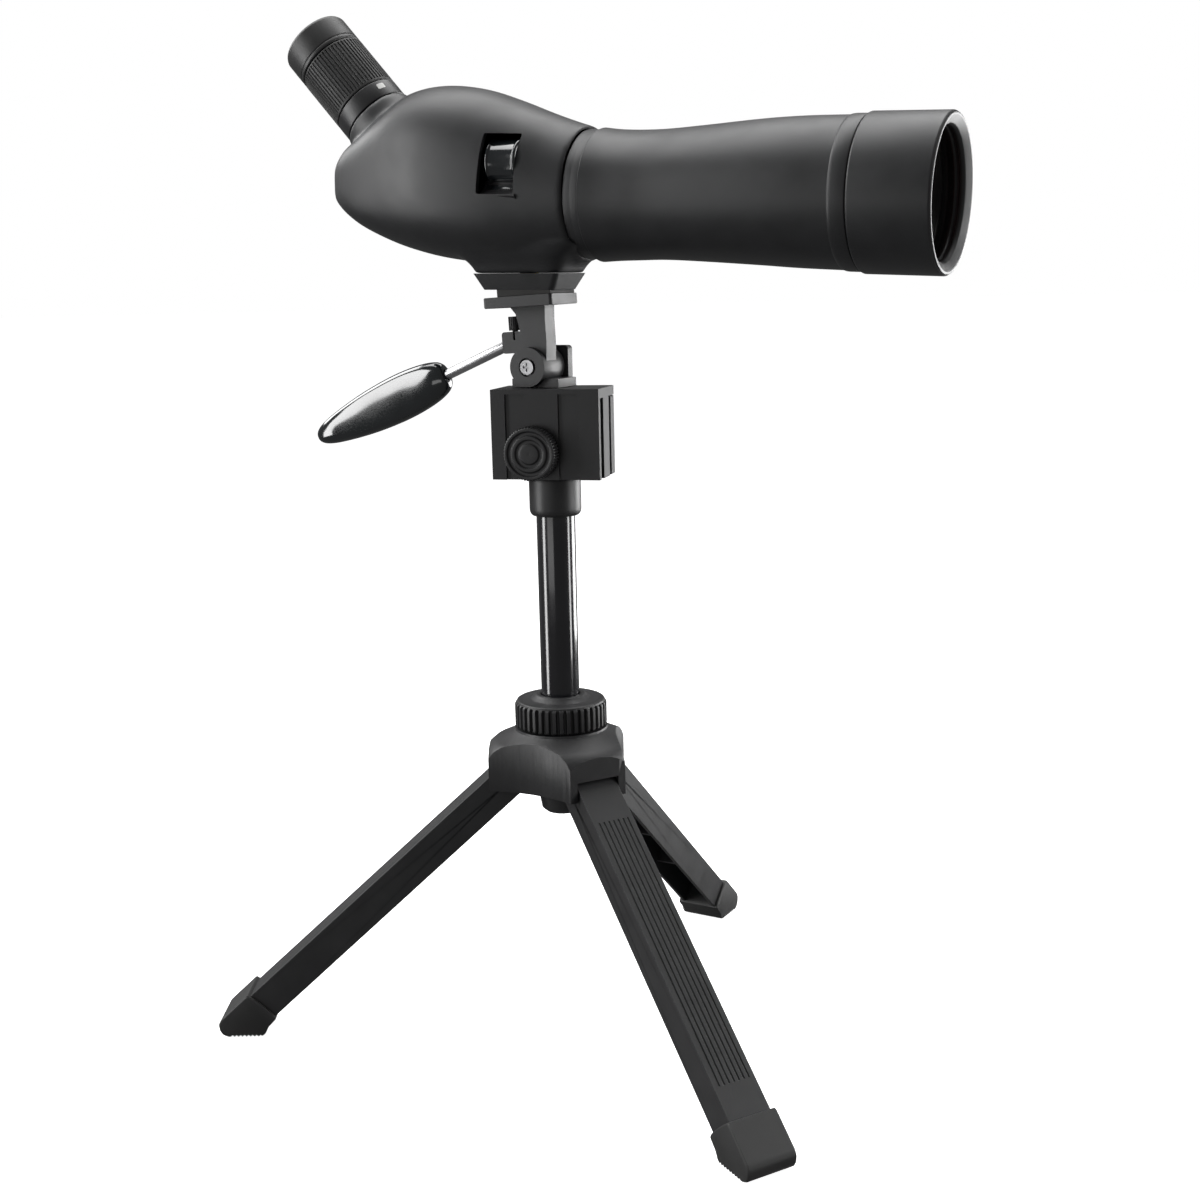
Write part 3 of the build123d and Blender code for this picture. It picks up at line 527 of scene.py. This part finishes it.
piece("knob_skin", *lathe([
    (4, 0), (13.4, 0), (14.2, 0.8), (14.2, 7.8), (13.4, 9.0), (12.0, 9.0), (11.5, 8.1), (9.9, 8.1), (9.4,
                                                                                                     8.9),
    (7.7, 8.9), (7.2, 8.1), (5.6, 8.1), (5.1, 8.8), (0.01, 8.95), (0.01, 5), (4, 5),
], 432, 0.35, grooved((0, 0, 0, 0, 0.6, 1, 1, 0.6), 0.3, 8.3, 13.5)), KNOB, "clamp_plastic", "clamp_knob",
      "clamp_knob", crease=40)


# ---------------------------------------------------------------- column, ring and feet

TUBE_LOW, TUBE_HIGH = (corner.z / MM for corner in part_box("column_tube"))
piece("tube_skin", *lathe([(9.1, TUBE_LOW), (10.5, TUBE_LOW), (10.5, TUBE_HIGH), (9.1, TUBE_HIGH)], 128,
                          0.2), POST,
      "tube_paint", "column", "column_tube")
piece("socket_skin", *lathe([
    (10.5, 293.2), (12.4, 293.2), (13.6, 294.6), (14, 296.4), (14, 312.4), (13.6, 313.9), (0.01, 313.9),
    (0.01, 312.6),
    (10.5, 312.6),
], 128, 0.6), POST, "clamp_plastic", "column", "socket_collar")
RING_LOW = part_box("locking_ring")[0].z / MM
ring_outline = [(17.3, 0), (24.2, 0), (25.4, 1.0), (25.4, 12.6), (24.3, 13.8), (24.3, 14.4), (23.4, 15.0),
                (21.2, 14.5),
                (16.5, 15.0), (14.4, 16.6), (13.3, 17.75), (10.85, 17.75), (10.85, 12.1), (17.3, 12.1)]
piece("ring_skin", *lathe(ring_outline, 400, 0.5, grooved((0, 0, 0, 0, 0, 0.5, 1, 1, 1, 0.5), 0.2, 13.3,
                                                          23.7)),
      POST @ Matrix.Translation((0, 0, RING_LOW * MM)), "tripod_plastic", "locking_ring", "locking_ring",
      crease=40)

sole = [(193.6, 0.0)]
for k in range(8):
    sole += [(192.2 - 2.4 * k, 0.0), (191.6 - 2.4 * k, 0.9), (191.0 - 2.4 * k, 0.9), (190.4 - 2.4 * k, 0.0)]
BOOT = ([(181.2, 25.0), (185.0, 21.6), (197.2, 10.4), (198.7, 7.4), (198.2, 3.6), (196.6, 1.1)] + sole
        + [(171.8, 1.6), (170.4, 5.0), (165.2, 10.5), (167.8, 13.6), (173.0, 18.6), (177.6, 22.4)])
for name in ("left", "front", "rear"):
    axis = Vector(joints[f"leg_{name}_fold"]["axis"])
    outward = axis.cross(Vector((0, 0, 1)))
    place = basis(COLUMN, (0, 0, 1), outward)
    piece(f"boot_{name}", *prism(soften(BOOT, 0.9, 2), 14.2, 1.8), place, "foot_rubber", f"leg_{name}",
          f"foot_{name}", crease=36)


# ---------------------------------------------------------------- carried-over CAD nodes

WELD_GAP = 1e-6
EDGE_ANGLE = math.radians(38)


def dress(node, slot, bevel):
    """Gives a CAD node its finish, and softens its moulded edges."""
    made = frame["nodes"][node]
    made.data.materials.clear()
    made.data.materials.append(MATERIALS[slot])
    if bevel:
        weld = made.modifiers.new("weld", "WELD")
        weld.merge_threshold = WELD_GAP
        edge = made.modifiers.new("edges", "BEVEL")
        edge.width = bevel
        edge.segments = 2
        edge.limit_method = "ANGLE"
        edge.angle_limit = EDGE_ANGLE
        edge.harden_normals = True


EDGES = {                                 # bevel widths
    "tilt_arm": 0.5, "platform": 0.6, "clamp_body": 0.7, "clamp_jaw": 0.6, "tilt_bracket": 0.4,
    "mount_foot": 0.5,
    "hub": 0.9, "wheel_bracket": 0.3, "leg_left": 0.5, "leg_front": 0.5, "leg_rear": 0.5,
    "platform_pad": 0.3, "rod_lock_screw": 0.15, "column_end_cap": 0.4,
}
for row in frame["record"]["subparts"]:
    dress(row["node"], row["material_slot"], EDGES.get(row["node"], 0.0) * MM)


# ---------------------------------------------------------------- floor, light and camera

def area_light(name, place, target, size, power):
    """A rectangular light that faces its target and stays out of the picture."""
    data = bpy.data.lights.new(name, "AREA")
    data.shape = "RECTANGLE"
    data.size, data.size_y = size
    data.energy = power
    light = bpy.data.objects.new(name, data)
    light.location = place
    light.rotation_mode = "QUATERNION"
    light.rotation_quaternion = (Vector(target) - Vector(place)).to_track_quat("-Z", "Y")
    light.visible_camera = False
    bpy.context.scene.collection.objects.link(light)


FLOOR, FLOOR_LEVEL, FLOOR_GLOW = 40000, -0.5, 0.92
corners = [(-FLOOR, -FLOOR), (FLOOR, -FLOOR), (FLOOR, FLOOR), (-FLOOR, FLOOR)]
floor = piece("floor", [(x, y, FLOOR_LEVEL) for x, y in corners], [(0, 1, 2, 3)], Matrix.Identity(4), None,
              None)
floor_finish = finish_of("floor_finish", (0.84, 0.84, 0.84), (0.88, 0.88, 0.88), (0.7, 0.8), 200, 0.0)
floor_shader = nodes_of(floor_finish)[1]
floor_shader.inputs["Emission Color"].default_value = (1, 1, 1, 1)
floor_shader.inputs["Emission Strength"].default_value = FLOOR_GLOW
floor.data.materials.append(floor_finish)
# The floor glows for the camera only: it lights nothing and isn't mirrored.
floor.visible_diffuse = False
floor.visible_glossy = False

AIM = COLUMN + Vector((0.02, 0, 0.3))
FRONT = AIM + Vector((0.2, 0, 0.15))
LIGHTS = (                                # name, place from AIM, target, width and height, watts
    ("top_light", (-0.3, 0.3, 1.45), AIM, (2.0, 1.0), 30),
    ("left_light", (-1.25, -1.05, 0.2), AIM, (0.45, 1.7), 24),
    ("rear_light", (-1.5, 0.1, 0.9), AIM, (0.8, 0.8), 14),
    ("right_light", (1.45, 0.45, 0.25), AIM, (0.3, 1.5), 14),
    ("rim_light", (0.9, 1.5, 0.0), FRONT, (0.9, 0.9), 26),
    ("low_light", (-0.2, -1.4, -0.1), AIM, (0.9, 0.25), 1.2),
)
for name, offset, target, size, power in LIGHTS:
    area_light(name, AIM + Vector(offset), target, size, power)

# The world is plain white to the camera and a dim fill to everything else.
WORLD_FILL = 0.16
world = bpy.data.worlds.new("studio")
world.use_nodes = True
tree = world.node_tree
dim = tree.nodes["Background"]
dim.inputs["Color"].default_value = (1, 1, 1, 1)
dim.inputs["Strength"].default_value = WORLD_FILL
plain = tree.nodes.new("ShaderNodeBackground")
plain.inputs["Color"].default_value = (1, 1, 1, 1)
rays = tree.nodes.new("ShaderNodeLightPath")
choose = tree.nodes.new("ShaderNodeMixShader")
tree.links.new(rays.outputs["Is Camera Ray"], choose.inputs["Fac"])
tree.links.new(dim.outputs["Background"], choose.inputs[1])
tree.links.new(plain.outputs["Background"], choose.inputs[2])
tree.links.new(choose.outputs["Shader"], tree.nodes["World Output"].inputs["Surface"])
bpy.context.scene.world = world
bpy.context.scene.view_settings.view_transform = "Standard"

# The camera stands where the photo's was, as solved from the photo's outlines.
CAMERA_TURN, CAMERA_DROP, CAMERA_ROLL = math.radians(26.99), math.radians(11.15), math.radians(-1.24)
CAMERA_FROM_COLUMN = Vector((412.0, -758.4, 415.6)) * MM
SENSOR, LENS = 36.0, 48.28
camera_data = bpy.data.cameras.new("camera")
camera_data.sensor_width = SENSOR
camera_data.lens = LENS
camera_data.clip_start = 0.05
camera_data.clip_end = 30.0
camera = bpy.data.objects.new("camera", camera_data)
flat = math.cos(CAMERA_DROP)
back = Vector((math.sin(CAMERA_TURN) * flat, -math.cos(CAMERA_TURN) * flat, math.sin(CAMERA_DROP)))
level = Vector((math.cos(CAMERA_TURN), math.sin(CAMERA_TURN), 0))
lift = back.cross(level)
right = level * math.cos(CAMERA_ROLL) + lift * math.sin(CAMERA_ROLL)
lift = back.cross(right)
facing = Matrix((right, lift, back)).transposed().to_4x4()
camera.matrix_world = Matrix.Translation(COLUMN + CAMERA_FROM_COLUMN) @ facing
bpy.context.scene.collection.objects.link(camera)
bpy.context.scene.camera = camera
